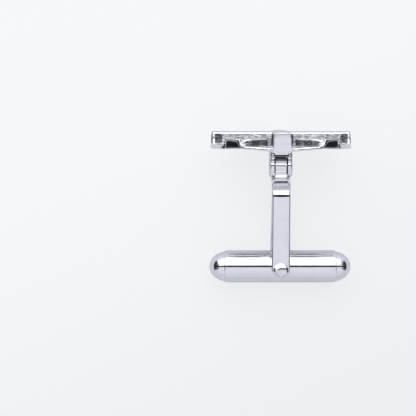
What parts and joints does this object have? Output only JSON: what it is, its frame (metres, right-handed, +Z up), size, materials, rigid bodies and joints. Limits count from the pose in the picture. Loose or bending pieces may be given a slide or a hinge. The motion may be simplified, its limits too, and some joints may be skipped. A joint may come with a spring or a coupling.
{
  "type": "oval flag cufflink with a swivel bar",
  "caption": "Oval relief cufflink of a crossed flag pattern, with a folding U-shaped arm and a turning torpedo bar",
  "frame": {"origin": "middle of the whole cufflink as it lies, on the table under it", "axes": "+X along the torpedo bar, +Y from the bar to the face, +Z up off the table"},
  "size_m": [0.0192, 0.0208, 0.012],
  "materials": {
    "cast_silver": "satin",
    "polished_silver": "polished",
    "pin_silver": "polished",
    "spring_steel": "satin"
  },
  "bodies": {
    "face": {"face_casting": "cast_silver", "hinge_clevis": "polished_silver", "hinge_pin": "pin_silver"},
    "arm": {"arm_knuckle": "polished_silver", "u_arm": "polished_silver", "pivot_rivet": "pin_silver"},
    "bar": {"bar_tube": "polished_silver", "end_cap_left": "polished_silver", "end_cap_right": "polished_silver", "leaf_spring_upper": "spring_steel", "leaf_spring_lower": "spring_steel"}
  },
  "joints": [
    {"name": "arm_fold", "type": "hinge", "parent": "face", "child": "arm", "pos_m": [0, 0.00543, 0.00587], "axis": [1, 0, 0], "range_deg": [-88, 72]},
    {"name": "bar_turn", "type": "hinge", "parent": "arm", "child": "bar", "pos_m": [0, -0.00822, 0.00322], "axis": [0, -0.1906, 0.9817], "continuous": true, "deforming": ["leaf_spring_upper", "leaf_spring_lower"]}
  ]
}
